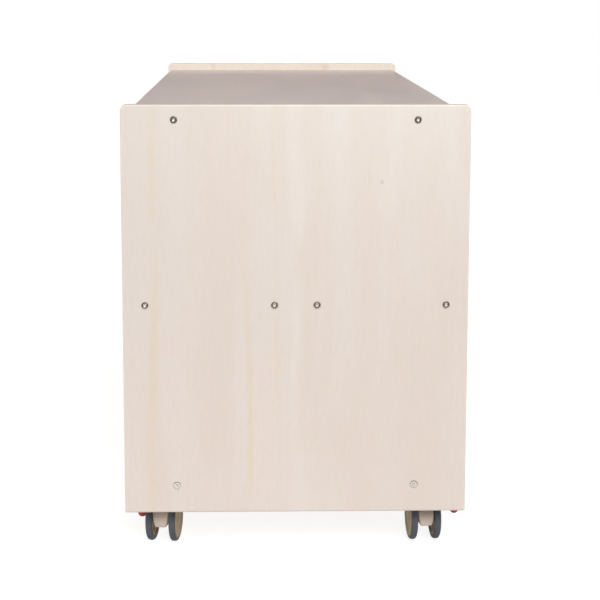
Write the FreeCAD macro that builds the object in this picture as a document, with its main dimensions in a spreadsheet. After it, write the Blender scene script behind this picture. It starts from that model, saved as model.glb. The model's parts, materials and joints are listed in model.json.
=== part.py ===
"""Double-sided mobile storage unit: plywood case with open shelves on both long sides, on four castors.

X runs across the unit, Y along it from the front end to the back end, Z up from the floor.
The origin is on the floor, under the middle of the unit. All lengths are in millimetres.
"""
import FreeCAD, Part
import math
import os
import re

DOC = FreeCAD.newDocument("MobileStorageUnit")
VECTOR = FreeCAD.Vector
TURN = FreeCAD.Rotation

# Driving sizes: name, value, what it measures
SIZES = (
    # Case
    ("unit_width", 457, "outside width of an end panel"),
    ("unit_length", 1219, "outside length over both end panels"),
    ("board_thick", 15, "thickness of panels, boards and shelves"),
    ("bay_height", 230, "clear height of each shelf bay"),
    ("panel_lip", 12.5, "rise of the end panels above the top board"),
    ("panel_skirt", 30, "drop of the end panels below the bottom board"),
    ("panel_corner", 8, "radius of the end panels' top corners"),
    ("panel_round", 2.5, "rounding of the end panels' edges"),
    ("board_inset", 4.5, "setback of the boards from the end panels' side edges"),
    ("board_round", 3, "rounding of the boards' long edges"),
    ("centre_thick", 6, "thickness of the centre panel"),
    ("groove_depth", 5, "depth of the grooves that hold the centre panel"),
    ("groove_play", 0.2, "room across the centre panel in its grooves"),
    ("groove_room", 0.5, "room at the bottom of each groove"),
    # Screws and dowels of the case
    ("screw_length", 50, "length of a panel screw"),
    ("screw_dia", 7, "diameter of a panel screw's shank"),
    ("screw_head_dia", 10, "diameter of its countersunk head"),
    ("screw_head_rim", 1.2, "straight rim of the head"),
    ("screw_head_cone", 1.6, "conical underside of the head"),
    ("screw_point", 3, "length of the screw's point"),
    ("screw_key", 4, "size across the flats of the hexagon socket"),
    ("screw_key_depth", 2.6, "depth of the hexagon socket"),
    ("screw_head_play", 0.4, "room across the head in its countersink"),
    ("screw_play", 0.1, "room across the shank in its hole"),
    ("screw_spread", 318, "distance between the two screws of the top and bottom boards"),
    ("shelf_screw_inset", 25, "distance of the shelf screws from the shelf's long edges"),
    ("dowel_dia", 8, "diameter of a dowel"),
    ("dowel_length", 30, "length of a dowel"),
    ("dowel_bevel", 1, "bevel of a dowel's ends"),
    ("dowel_seat", 10, "depth of a dowel in the end panel"),
    ("dowel_spread", 180, "distance between the two dowels of the top and bottom boards"),
    ("dowel_play", 0.1, "room across a dowel in its hole"),
    ("dowel_room", 0.5, "room at the ends of a dowel"),
    ("shelf_dowel_length", 40, "length of the dowels that pass through the centre panel"),
    ("shelf_dowel_pitch", 400, "distance between those dowels along the unit"),
    # Castor: where it stands, its plate and its swivel
    ("castor_height", 90, "floor to the underside of the bottom board"),
    ("castor_side_inset", 51.5, "swivel axis from the end panel's side edge"),
    ("castor_end_inset", 88, "swivel axis from the end panel's outer face"),
    ("trail", 20, "offset of the axle from the swivel axis"),
    ("yaw_left", -8.9, "turn of the front left and back right castors, in degrees"),
    ("yaw_right", 4.9, "turn of the front right and back left castors, in degrees"),
    ("plate_size", 62, "side of the square mounting plate"),
    ("plate_thick", 3, "thickness of the mounting plate"),
    ("plate_corner", 7, "radius of the plate's corners"),
    ("plate_hole_pitch", 46, "distance between the plate's screw holes"),
    ("plate_hole_play", 0.6, "room across a castor screw in the plate"),
    ("boss_dia", 40, "diameter of the swivel boss and of the hood's turret"),
    ("boss_height", 4, "height of the swivel boss under the plate"),
    ("swivel_gap", 1, "gap between boss and turret"),
    ("ball_dia", 5, "diameter of a swivel ball"),
    ("ball_circle", 29, "diameter of the circle of balls"),
    ("ball_play", 0.3, "room round a ball in the boss's race"),
    ("ball_seat_play", 0.05, "room round a ball in the turret's race"),
    ("kingpin_dia", 10, "diameter of the kingpin"),
    ("kingpin_play", 0.1, "room across the kingpin in the hood"),
    ("kingpin_depth", 34, "depth of the kingpin below the turret's top"),
    ("grip_dia", 12.5, "diameter of the kingpin's grip ring"),
    ("grip_thick", 1.5, "thickness of the grip ring"),
    ("grip_depth", 24, "grip ring below the turret's top"),
    ("grip_play", 0.3, "room round the grip ring"),
    ("plate_screw_dia", 4.2, "diameter of a castor screw"),
    ("plate_screw_length", 15, "length of a castor screw under its head"),
    ("plate_screw_head_dia", 8.4, "diameter of a castor screw's head"),
    ("plate_screw_head", 2.4, "height of a castor screw's head"),
    ("plate_screw_slot", 1.2, "width of the cross recess"),
    ("plate_screw_slot_depth", 1.4, "depth of the cross recess"),
    # Castor: hood, axle and wheels
    ("web_width", 22.2, "width of the hood between the wheels"),
    ("hood_margin", 3.5, "tread past the round of the hood"),
    ("hood_drop", 6, "hood's lower edge below the axle"),
    ("hood_foot_width", 15.6, "width of the hood at its lower edge"),
    ("hood_flare", 10, "rise from the axle to the hood's full width"),
    ("neck_front", 16, "hood's neck ahead of the swivel axis"),
    ("neck_back", 36, "hood's neck behind the swivel axis"),
    ("bonnet_clear", 2, "room between wheel and bonnet"),
    ("bonnet_thick", 5, "thickness of the bonnet over the wheels"),
    ("bonnet_overhang", 0.7, "bonnet past the wheel's outer face"),
    ("bonnet_front", 20, "bonnet ahead of the swivel axis"),
    ("bonnet_back", 46, "bonnet behind the swivel axis"),
    ("bonnet_corner", 9, "radius of the bonnet's corners"),
    ("bonnet_round", 2, "rounding of the bonnet's top edge"),
    ("turret_rise", 12, "rise of the swivel turret above the bonnet"),
    ("wheel_width", 9.2, "width of a wheel"),
    ("wheel_play", 0.4, "room between hood and wheel"),
    ("tyre_thick", 4.5, "thickness of the tyre"),
    ("tyre_round", 3.4, "rounding of the tread"),
    ("hub_cover", 2.4, "wall that closes the hub outside"),
    ("hub_rim", 6, "flat rim round the dish in the hub's outer face"),
    ("hub_dish", 0.8, "depth of that dish"),
    ("hub_wall", 4, "wall round the pocket in the hub's inner face"),
    ("hub_pocket", 1.7, "depth of that pocket"),
    ("hub_boss_dia", 16, "diameter of the hub's boss"),
    ("axle_dia", 8, "diameter of the axle"),
    ("axle_play", 0.1, "room across the axle in a hub"),
    ("axle_fit", 0.04, "room across the axle in the hood"),
    ("axle_end_room", 0.3, "room between axle end and hub cover"),
    # Castor: brake lever
    ("lever_offset", 7.7, "lever pin outside the wheel's outer face"),
    ("lever_rise", 7, "lever pin above the bonnet's underside"),
    ("lever_drop", 29, "toe bar below the lever pin"),
    ("lever_gap", 0.4, "room between wheel and toe bar when the brake is on"),
    ("lever_swing", 27, "swing from locked to free, in degrees"),
    ("lever_back", 26, "lever's middle behind the swivel axis"),
    ("lever_width", 12, "width of the lever's arm"),
    ("lever_arm", 6, "thickness of the lever's arm"),
    ("lever_eye_dia", 10, "diameter of the lever's eye and of the hood's ears"),
    ("toe_dia", 12, "diameter of the toe bar"),
    ("toe_length", 28, "length of the toe bar"),
    ("toe_round", 3, "rounding of the toe bar's ends"),
    ("ear_thick", 3, "thickness of each ear on the hood"),
    ("ear_play", 0.3, "room between lever and ear"),
    ("lever_pin_dia", 4, "diameter of the lever pin"),
    ("lever_pin_play", 0.1, "room across the lever pin in the lever"),
    ("lever_pin_end", 0.5, "lever pin past each ear"),
    ("pin_round", 0.4, "rounding of the ends of axle and lever pin"),
)

# Places and sizes that follow from the driving ones
DERIVED = {
    "half_width": "unit_width / 2",
    "half_length": "unit_length / 2",
    "panel_inner": "half_length - board_thick",
    "board_half": "half_width - board_inset",
    "panel_base": "castor_height - panel_skirt",
    "floor_top": "castor_height + board_thick",
    "shelf_base": "floor_top + bay_height",
    "shelf_top": "shelf_base + board_thick",
    "roof_base": "shelf_top + bay_height",
    "roof_top": "roof_base + board_thick",
    "panel_top": "roof_top + panel_lip",
    "shelf_inner": "centre_thick / 2 + groove_play / 2",
    "shelf_middle": "(shelf_inner + board_half) / 2",
    "floor_line": "castor_height + board_thick / 2",
    "shelf_line": "shelf_base + board_thick / 2",
    "roof_line": "roof_base + board_thick / 2",
    "castor_across": "half_width - castor_side_inset",
    "castor_along": "half_length - castor_end_inset",
    "plate_base": "castor_height - plate_thick",
    "boss_base": "plate_base - boss_height",
    "turret_top": "boss_base - swivel_gap",
    "ball_level": "boss_base - swivel_gap / 2",
    "bonnet_base": "turret_top - turret_rise - bonnet_thick",
    "wheel_dia": "bonnet_base - bonnet_clear",
    "wheel_radius": "wheel_dia / 2",
    "hub_dia": "wheel_dia - 2 * tyre_thick",
    "hub_dish_dia": "hub_dia - 2 * hub_rim",
    "hub_pocket_dia": "hub_dia - 2 * hub_wall",
    "hood_radius": "wheel_radius - hood_margin",
    "hood_foot": "wheel_radius - hood_drop",
    "hood_waist": "wheel_radius + hood_flare",
    "wheel_inner": "web_width / 2 + wheel_play",
    "wheel_outer": "wheel_inner + wheel_width",
    "bonnet_half": "wheel_outer + bonnet_overhang",
    "lever_across": "wheel_outer + lever_offset",
    "lever_level": "bonnet_base + lever_rise",
    "ear_inner": "lever_width / 2 + ear_play",
    "toe_shift": "lever_gap + toe_dia / 2 - lever_offset",
}
BALL_COUNT = 12

# Castor: name, side across, end along, yaw, side of its lever, share of the lever's swing it stands at
CASTORS = (
    ("castor_front_left", -1, -1, "yaw_left", -1, 0),
    ("castor_front_right", 1, -1, "yaw_right", 1, 1),
    ("castor_back_right", 1, 1, "yaw_left + 180", -1, 0),
    ("castor_back_left", -1, 1, "yaw_right + 180", 1, 1),
)

ALONG = {"x": TURN(VECTOR(0, 1, 0), 90), "y": TURN(VECTOR(1, 0, 0), -90), "z": TURN()}
FLAT = 0.001
SIZE_NAMES = {name for name, size, note in SIZES}
NODES = []


def write_sheet():
    """The sheet of driving sizes: note, value and alias on each row."""
    sheet = DOC.addObject("Spreadsheet::Sheet", "Sizes")
    for row, (name, size, note) in enumerate(SIZES, start=1):
        sheet.set("A%d" % row, note)
        sheet.set("B%d" % row, str(size))
        sheet.setAlias("B%d" % row, name)
    DOC.recompute()
    return sheet


SHEET = write_sheet()


def expand(text):
    """An expression on the sheet's cells from plain size names."""
    def swap(match):
        word = match.group(0)
        if word in DERIVED:
            return "(" + expand(DERIVED[word]) + ")"
        return "Sizes." + word if word in SIZE_NAMES else word
    return re.sub(r"[a-z_]+", swap, text)


def value(text):
    return float(SHEET.evalExpression(expand(text)))


def bind(thing, **sizes):
    for name, text in sizes.items():
        thing.setExpression(name, expand(text))


def place(thing, spot):
    for axis, text in zip("xyz", spot):
        thing.setExpression("Placement.Base." + axis, expand(text))


def turn(thing, axis, angle):
    """Turn a thing about an axis through its own origin by an angle in degrees."""
    thing.Placement = FreeCAD.Placement(VECTOR(), TURN(axis, 1))
    thing.setExpression("Placement.Rotation.Angle", "(" + expand(angle) + ") * 1 deg")


def node(thing, label):
    """Name a finished sub-part and keep it for writing."""
    thing.Label = label
    NODES.append(thing)
    return thing


# Shapes

def block(name, size, corner):
    thing = DOC.addObject("Part::Box", name)
    bind(thing, Length=size[0], Width=size[1], Height=size[2])
    place(thing, corner)
    return thing


def rod(name, dia, length, start, axis):
    """A cylinder from its start point along +axis."""
    thing = DOC.addObject("Part::Cylinder", name)
    thing.Placement = FreeCAD.Placement(VECTOR(), ALONG[axis])
    bind(thing, Radius="(" + dia + ") / 2", Height=length)
    place(thing, start)
    return thing


def taper(name, dia_start, dia_end, length, start, axis):
    """A cone from its start point along +axis."""
    thing = DOC.addObject("Part::Cone", name)
    thing.Placement = FreeCAD.Placement(VECTOR(), ALONG[axis])
    bind(thing, Radius1="(" + dia_start + ") / 2", Radius2="(" + dia_end + ") / 2", Height=length)
    place(thing, start)
    return thing


def ring(name, circle_dia, section_dia, level):
    """A torus about the Z axis."""
    thing = DOC.addObject("Part::Torus", name)
    bind(thing, Radius1="(" + circle_dia + ") / 2", Radius2="(" + section_dia + ") / 2")
    place(thing, ("0", "0", level))
    return thing


def round_edges(body, radius, chosen):
    """Round the chosen edges of a body's last feature."""
    DOC.recompute()
    base = body.Tip
    names = ["Edge%d" % number for number, edge in enumerate(base.Shape.Edges, start=1) if chosen(edge)]
    fillet = body.newObject("PartDesign::Fillet", body.Name + "_round")
    fillet.Base = (base, names)
    bind(fillet, Radius=radius)


def soft_block(name, size, corner, rounds):
    """A block with rounded edges: rounds holds pairs of a radius and a test that chooses edges."""
    body = DOC.addObject("PartDesign::Body", name)
    box = body.newObject("PartDesign::AdditiveBox", name + "_block")
    bind(box, Length=size[0], Width=size[1], Height=size[2])
    place(box, corner)
    for radius, chosen in rounds:
        round_edges(body, radius, chosen)
    return body


def soft_rod(name, dia, length, start, axis, radius):
    """A cylinder whose two rims are rounded."""
    body = DOC.addObject("PartDesign::Body", name)
    core = body.newObject("PartDesign::AdditiveCylinder", name + "_rod")
    core.Placement = FreeCAD.Placement(VECTOR(), ALONG[axis])
    bind(core, Radius="(" + dia + ") / 2", Height=length)
    place(core, start)
    round_edges(body, radius, lambda edge: edge.isClosed())
    return body


def joined(name, things):
    result = DOC.addObject("Part::MultiFuse", name)
    result.Shapes = things
    result.Refine = True
    return result


def shared(name, first, second):
    result = DOC.addObject("Part::Common", name)
    result.Base = first
    result.Tool = second
    return result


def cut(name, base, tools):
    result = DOC.addObject("Part::Cut", name)
    result.Base = base
    result.Tool = tools[0] if len(tools) == 1 else joined(name + "_tools", tools)
    result.Refine = True
    return result


def group(label, pattern, placements):
    """One node of separate like solids, each a copy of the pattern at its own placement."""
    DOC.recompute()
    solids = []
    for placement in placements:
        solid = pattern.Shape.copy()
        solid.Placement = placement.multiply(solid.Placement)
        solids.append(solid)
    thing = DOC.addObject("Part::Feature", label)
    thing.Shape = Part.makeCompound(solids)
    return node(thing, label)


def runs_along(axis):
    """A test for straight edges that run along one axis."""
    others = [other for other in "XYZ" if other != axis]

    def test(edge):
        return all(getattr(edge.BoundBox, other + "Length") < FLAT for other in others)
    return test


def lies_across(axis):
    """A test for edges that lie in a plane square to one axis."""
    return lambda edge: getattr(edge.BoundBox, axis + "Length") < FLAT


# Case

def screw_places():
    """Across and height of each panel screw in an end panel."""
    spread = "screw_spread / 2"
    inner = "shelf_inner + shelf_screw_inset"
    outer = "board_half - shelf_screw_inset"
    return [(spread, "floor_line"), (spread, "roof_line"), (inner, "shelf_line"), (outer, "shelf_line")]


def dowel_places():
    """Across and height of each dowel in an end panel."""
    spread = "dowel_spread / 2"
    return [(spread, "floor_line"), (spread, "roof_line"), ("shelf_middle", "shelf_line")]


def mirrored(places):
    return [(sign + "(" + across + ")", height) for across, height in places for sign in ("", "-")]


def end_panel(label, end):
    """An end panel with its groove, countersunk screw holes and dowel holes. end is -1 in front, 1 behind."""
    outer_start = "-half_length" if end < 0 else "panel_inner"

    def inward(depth):
        """Start of a hole of this depth from the outer face."""
        return "-half_length" if end < 0 else "half_length - (" + depth + ")"

    def outward(depth):
        """Start of a hole of this depth from the inner face."""
        return "-panel_inner - (" + depth + ")" if end < 0 else "panel_inner"

    def is_top_corner(edge):
        return runs_along("Y")(edge) and edge.CenterOfMass.z > value("shelf_line")

    plate = soft_block(label + "_plate", ("unit_width", "board_thick", "panel_top - panel_base"),
                       ("-half_width", outer_start, "panel_base"),
                       (("panel_corner", is_top_corner), ("panel_round", lies_across("Y"))))
    tools = [block(label + "_groove",
                   ("centre_thick + groove_play", "groove_depth", "roof_base - floor_top + 2 * groove_depth"),
                   ("-shelf_inner", outward("groove_depth"), "floor_top - groove_depth"))]
    rim_dia = "screw_head_dia + screw_head_play"
    shank_dia = "screw_dia + screw_play"
    head_depth = "screw_head_rim + screw_head_cone"
    cone_start = "-half_length + screw_head_rim" if end < 0 else inward(head_depth)
    cone_dias = (rim_dia, shank_dia) if end < 0 else (shank_dia, rim_dia)
    for across, height in mirrored(screw_places()):
        tools.append(rod(label + "_rim", rim_dia, "screw_head_rim",
                         (across, inward("screw_head_rim"), height), "y"))
        tools.append(taper(label + "_cone", *cone_dias, "screw_head_cone", (across, cone_start, height), "y"))
        tools.append(rod(label + "_hole", shank_dia, "board_thick",
                         (across, inward("board_thick"), height), "y"))
    dowel_depth = "dowel_seat + dowel_room"
    for across, height in mirrored(dowel_places()):
        tools.append(rod(label + "_dowel", "dowel_dia + dowel_play", dowel_depth,
                         (across, outward(dowel_depth), height), "y"))
    node(cut(label, plate, tools), label)


def end_holes(label, screws, dowels):
    """Screw and dowel holes in both ends of a board: each is a list of across and height."""
    tools = []
    screw_depth = "screw_length - board_thick + dowel_room"
    dowel_depth = "dowel_length - dowel_seat + dowel_room"
    kinds = ((screws, "screw_dia + screw_play", screw_depth), (dowels, "dowel_dia + dowel_play", dowel_depth))
    for places, dia, depth in kinds:
        for across, height in places:
            for start in ("-panel_inner", "panel_inner - (" + depth + ")"):
                tools.append(rod(label + "_hole", dia, depth, (across, start, height), "y"))
    return tools


def wide_board(label, base, line, groove_start, more_tools):
    """The top or bottom board, with the centre panel's groove in its inner face."""
    board = soft_block(label + "_board", ("2 * board_half", "2 * panel_inner", "board_thick"),
                       ("-board_half", "-panel_inner", base), (("board_round", runs_along("Y")),))
    groove = block(label + "_groove", ("centre_thick + groove_play", "2 * panel_inner", "groove_depth"),
                   ("-shelf_inner", "-panel_inner", groove_start))
    screws = mirrored([("screw_spread / 2", line)])
    dowels = mirrored([("dowel_spread / 2", line)])
    node(cut(label, board, [groove] + end_holes(label, screws, dowels) + more_tools), label)


def plate_holes():
    """Across and along of every castor screw under the bottom board."""
    spots = []
    for name, side, end, yaw, lever_side, swing in CASTORS:
        for step_across in ("-", "+"):
            for step_along in ("-", "+"):
                across = "%d * castor_across %s plate_hole_pitch / 2" % (side, step_across)
                along = "%d * castor_along %s plate_hole_pitch / 2" % (end, step_along)
                spots.append((across, along))
    return spots


def bottom_board():
    depth = "plate_screw_length - plate_thick + dowel_room"
    pilot_dia = "plate_screw_dia + screw_play"
    pilots = [rod("bottom_board_pilot", pilot_dia, depth, (across, along, "castor_height"), "z")
              for across, along in plate_holes()]
    wide_board("bottom_board", "castor_height", "floor_line", "floor_top - groove_depth", pilots)


def shelf_dowel_spots():
    return ["-shelf_dowel_pitch", "0", "shelf_dowel_pitch"]


def middle_shelf(label, side):
    """A shelf of one open side, between the centre panel and the unit's side."""
    sign = "-" if side < 0 else ""
    start = "-board_half" if side < 0 else "shelf_inner"

    def is_outer(edge):
        return runs_along("Y")(edge) and abs(edge.CenterOfMass.x) > value("shelf_middle")

    board = soft_block(label + "_board", ("board_half - shelf_inner", "2 * panel_inner", "board_thick"),
                       (start, "-panel_inner", "shelf_base"), (("board_round", is_outer),))
    screws = [(sign + "(" + across + ")", height)
              for across, height in screw_places() if height == "shelf_line"]
    tools = end_holes(label, screws, [(sign + "shelf_middle", "shelf_line")])
    depth = "shelf_dowel_length / 2 - shelf_inner + dowel_room"
    hole_start = "-shelf_inner - (" + depth + ")" if side < 0 else "shelf_inner"
    for along in shelf_dowel_spots():
        tools.append(rod(label + "_joint", "dowel_dia + dowel_play", depth,
                         (hole_start, along, "shelf_line"), "x"))
    node(cut(label, board, tools), label)


def centre_panel():
    """The thin panel that divides the two open sides, held in grooves all round."""
    reach = "groove_depth - groove_room"
    length = "2 * (panel_inner + " + reach + ")"
    height = "roof_base - floor_top + 2 * (" + reach + ")"
    panel = block("centre_panel_sheet", ("centre_thick", length, height),
                  ("-centre_thick / 2", "-panel_inner - (" + reach + ")", "floor_top - (" + reach + ")"))
    tools = [rod("centre_panel_hole", "dowel_dia + dowel_play", "centre_thick",
                 ("-centre_thick / 2", along, "shelf_line"), "x") for along in shelf_dowel_spots()]
    node(cut("centre_panel", panel, tools), "centre_panel")


def facing(end):
    """The turn that points a part made along +Y into the unit from the front or back end."""
    return TURN(VECTOR(0, 0, 1), 0 if end < 0 else 180)


def panel_screws():
    """Countersunk connecting screws with a hexagon socket, head flush with the end panel."""
    shank_start = "screw_head_rim + screw_head_cone"
    shank_length = "screw_length - screw_head_rim - screw_head_cone - screw_point"
    body = joined("panel_screw_body", [
        rod("panel_screw_rim", "screw_head_dia", "screw_head_rim", ("0", "0", "0"), "y"),
        taper("panel_screw_cone", "screw_head_dia", "screw_dia", "screw_head_cone",
              ("0", "screw_head_rim", "0"), "y"),
        rod("panel_screw_shank", "screw_dia", shank_length, ("0", shank_start, "0"), "y"),
        taper("panel_screw_point", "screw_dia", "screw_dia / 2", "screw_point",
              ("0", "screw_length - screw_point", "0"), "y")])
    socket = DOC.addObject("Part::Prism", "panel_screw_socket")
    socket.Polygon = 6
    socket.Placement = FreeCAD.Placement(VECTOR(), ALONG["y"])
    bind(socket, Circumradius="screw_key / sqrt(3)", Height="screw_key_depth")
    pattern = cut("panel_screw", body, [socket])
    spots = [FreeCAD.Placement(VECTOR(value(across), end * value("half_length"), value(height)), facing(end))
             for end in (-1, 1) for across, height in mirrored(screw_places())]
    group("panel_screws", pattern, spots)


def dowel_pattern(name, length):
    """A dowel along +Y from the origin, with bevelled ends."""
    core_dia = "dowel_dia - 2 * dowel_bevel"
    core_length = "(" + length + ") - 2 * dowel_bevel"
    last = "(" + length + ") - dowel_bevel"
    return joined(name, [
        taper(name + "_start", core_dia, "dowel_dia", "dowel_bevel", ("0", "0", "0"), "y"),
        rod(name + "_core", "dowel_dia", core_length, ("0", "dowel_bevel", "0"), "y"),
        taper(name + "_end", "dowel_dia", core_dia, "dowel_bevel", ("0", last, "0"), "y")])


def dowels():
    along = value("half_length - board_thick + dowel_seat")
    spots = [FreeCAD.Placement(VECTOR(value(across), end * along, value(height)), facing(end))
             for end in (-1, 1) for across, height in mirrored(dowel_places())]
    group("board_dowels", dowel_pattern("board_dowel", "dowel_length"), spots)
    across_unit = TURN(VECTOR(0, 0, 1), -90)
    start = value("-shelf_dowel_length / 2")
    spots = [FreeCAD.Placement(VECTOR(start, value(spot), value("shelf_line")), across_unit)
             for spot in shelf_dowel_spots()]
    group("shelf_dowels", dowel_pattern("shelf_dowel", "shelf_dowel_length"), spots)


def castor_screws():
    """Cross-recessed pan-head screws that hold the castor plates under the bottom board."""
    body = joined("castor_screw_body", [
        soft_rod("castor_screw_head", "plate_screw_head_dia", "plate_screw_head",
                 ("0", "0", "-plate_screw_head"), "z", "plate_screw_head / 3"),
        rod("castor_screw_shank", "plate_screw_dia", "plate_screw_length", ("0", "0", "0"), "z")])
    reach = "plate_screw_head_dia / 2"
    slots = [block("castor_screw_slot", size, corner) for size, corner in (
        ((reach, "plate_screw_slot", "plate_screw_slot_depth"),
         ("-plate_screw_head_dia / 4", "-plate_screw_slot / 2", "-plate_screw_head")),
        (("plate_screw_slot", reach, "plate_screw_slot_depth"),
         ("-plate_screw_slot / 2", "-plate_screw_head_dia / 4", "-plate_screw_head")))]
    pattern = cut("castor_screw", body, slots)
    spots = [FreeCAD.Placement(VECTOR(value(across), value(along), value("plate_base")), TURN())
             for across, along in plate_holes()]
    group("castor_screws", pattern, spots)


# Castors: each is made about its own swivel axis, with its wheels trailing towards -Y

def stand(thing, castor, swivels):
    """Put a finished castor piece under the unit, turned with the hood if it swivels."""
    name, side, end, yaw, lever_side, swing = castor
    if swivels:
        turn(thing, VECTOR(0, 0, 1), yaw)
    place(thing, ("%d * castor_across" % side, "%d * castor_along" % end, "0"))


def mounting_plate(castor):
    """Square plate with the swivel boss and its ball race."""
    name = castor[0] + "_plate"
    corner = "-plate_size / 2"
    plate = soft_block(name + "_sheet", ("plate_size", "plate_size", "plate_thick"),
                       (corner, corner, "plate_base"), (("plate_corner", runs_along("Z")),))
    boss = rod(name + "_boss", "boss_dia", "boss_height", ("0", "0", "boss_base"), "z")
    tools = [ring(name + "_race", "ball_circle", "ball_dia + 2 * ball_play", "ball_level"),
             rod(name + "_bore", "kingpin_dia", "boss_height + plate_thick", ("0", "0", "boss_base"), "z")]
    half = "plate_hole_pitch / 2"
    for across in ("-" + half, half):
        for along in ("-" + half, half):
            tools.append(rod(name + "_hole", "plate_screw_dia + plate_hole_play", "plate_thick",
                             (across, along, "plate_base"), "z"))
    stand(node(cut(name, joined(name + "_blank", [plate, boss]), tools), name), castor, False)


def kingpin(castor):
    """Pin fixed in the plate, with a grip ring that holds the hood up."""
    name = castor[0] + "_kingpin"
    pin = joined(name, [
        rod(name + "_shank", "kingpin_dia", "castor_height - turret_top + kingpin_depth",
            ("0", "0", "turret_top - kingpin_depth"), "z"),
        rod(name + "_grip", "grip_dia", "grip_thick", ("0", "0", "turret_top - grip_depth"), "z")])
    stand(node(pin, name), castor, False)


def swivel_balls(castor):
    """The ring of balls between boss and turret."""
    name = castor[0] + "_balls"
    ball = DOC.addObject("Part::Sphere", name + "_ball")
    bind(ball, Radius="ball_dia / 2")
    radius = value("ball_circle / 2")
    level = value("ball_level")
    angles = [2 * math.pi * number / BALL_COUNT for number in range(BALL_COUNT)]
    spots = [FreeCAD.Placement(VECTOR(radius * math.cos(angle), radius * math.sin(angle), level), TURN())
             for angle in angles]
    stand(group(name, ball, spots), castor, True)


def hood_web(name):
    """The hood between the wheels: round about the axle, narrowing to a straight lower edge."""
    reach = "hood_radius + neck_front"
    foot = DOC.addObject("Part::Wedge", name + "_foot")
    foot.Placement = FreeCAD.Placement(VECTOR(), TURN(VECTOR(1, 0, 0), 90))
    bind(foot, Xmin="-hood_foot_width / 2", Xmax="hood_foot_width / 2",
         X2min="-web_width / 2", X2max="web_width / 2",
         Ymin="hood_foot", Ymax="hood_waist", Zmin="trail - (" + reach + ")", Zmax="trail + " + reach,
         Z2min="trail - (" + reach + ")", Z2max="trail + " + reach)
    chest = block(name + "_chest", ("web_width", "2 * (" + reach + ")", "bonnet_base - hood_waist"),
                  ("-web_width / 2", "-trail - (" + reach + ")", "hood_waist"))
    disc = rod(name + "_disc", "2 * hood_radius", "web_width",
               ("-web_width / 2", "-trail", "wheel_radius"), "x")
    neck = block(name + "_neck", ("web_width", "neck_front + neck_back", "bonnet_base - wheel_radius"),
                 ("-web_width / 2", "-neck_back", "wheel_radius"))
    return shared(name + "_web", joined(name + "_front", [foot, chest]), joined(name + "_side", [disc, neck]))


def hood(castor):
    """Moulded hood: web between the wheels, bonnet over them, swivel turret and the lever's two ears."""
    name = castor[0] + "_hood"
    lever_side = castor[4]
    bonnet = soft_block(name + "_bonnet", ("2 * bonnet_half", "bonnet_front + bonnet_back", "bonnet_thick"),
                        ("-bonnet_half", "-bonnet_back", "bonnet_base"),
                        (("bonnet_corner", runs_along("Z")),
                         ("bonnet_round", lambda edge: lies_across("Z")(edge)
                          and edge.CenterOfMass.z > value("bonnet_base + bonnet_thick / 2"))))
    pieces = [hood_web(name), bonnet,
              rod(name + "_turret", "boss_dia", "turret_top - bonnet_base", ("0", "0", "bonnet_base"), "z")]
    ear_start = "wheel_outer" if lever_side > 0 else "-lever_across"
    pivot = "%d * lever_across" % lever_side
    for along in ("-lever_back - ear_inner - ear_thick", "-lever_back + ear_inner"):
        pieces.append(rod(name + "_ear", "lever_eye_dia", "ear_thick", (pivot, along, "lever_level"), "y"))
        pieces.append(block(name + "_ear_root", ("lever_offset", "ear_thick", "lever_eye_dia"),
                            (ear_start, along, "lever_level - lever_eye_dia / 2")))
    bore_dia = "kingpin_dia + kingpin_play"
    grip_room = "grip_thick + 2 * grip_play"
    tools = [
        rod(name + "_bore", bore_dia, "kingpin_depth + grip_play",
            ("0", "0", "turret_top - kingpin_depth - grip_play"), "z"),
        rod(name + "_grip", "grip_dia + 2 * grip_play", grip_room,
            ("0", "0", "turret_top - grip_depth - grip_play"), "z"),
        ring(name + "_race", "ball_circle", "ball_dia + 2 * ball_seat_play", "ball_level"),
        rod(name + "_axle", "axle_dia + axle_fit", "web_width",
            ("-web_width / 2", "-trail", "wheel_radius"), "x"),
        rod(name + "_pin", "lever_pin_dia", "2 * (ear_inner + ear_thick)",
            (pivot, "-lever_back - ear_inner - ear_thick", "lever_level"), "y")]
    stand(node(cut(name, joined(name + "_blank", pieces), tools), name), castor, True)


def axle(castor):
    """Steel axle, fast in the hood, on which both wheels turn."""
    name = castor[0] + "_axle"
    half = "wheel_outer - hub_cover - axle_end_room"
    pin = soft_rod(name, "axle_dia", "2 * (" + half + ")", ("-(" + half + ")", "-trail", "wheel_radius"), "x",
                   "pin_round")
    stand(node(pin, name), castor, True)


def wheel(castor, side):
    """Hub and tyre of one wheel; side is -1 or 1 across the castor."""
    name = castor[0] + ("_left" if side < 0 else "_right")

    def from_inner(gap, depth):
        """Start across of a feature of this depth that begins this far out from the wheel's inner face."""
        return "wheel_inner + " + gap if side > 0 else "-wheel_inner - (" + gap + ") - (" + depth + ")"

    def slice_of(part, dia, gap, depth):
        return rod(name + part, dia, depth, (from_inner(gap, depth), "-trail", "wheel_radius"), "x")

    disc = slice_of("_disc", "hub_dia", "0", "wheel_width")
    pocket = cut(name + "_pocket", slice_of("_well", "hub_pocket_dia", "0", "hub_pocket"),
                 [slice_of("_boss", "hub_boss_dia", "0", "hub_pocket")])
    tools = [pocket,
             slice_of("_dish", "hub_dish_dia", "wheel_width - hub_dish", "hub_dish"),
             slice_of("_bore", "axle_dia + axle_play", "0", "wheel_width - hub_cover")]
    stand(node(cut(name + "_hub", disc, tools), name + "_hub"), castor, True)
    tread = soft_rod(name + "_tread", "wheel_dia", "wheel_width",
                     (from_inner("0", "wheel_width"), "-trail", "wheel_radius"), "x", "tyre_round")
    core = slice_of("_core", "hub_dia", "0", "wheel_width")
    stand(node(cut(name + "_tyre", tread, [core]), name + "_tyre"), castor, True)


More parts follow.
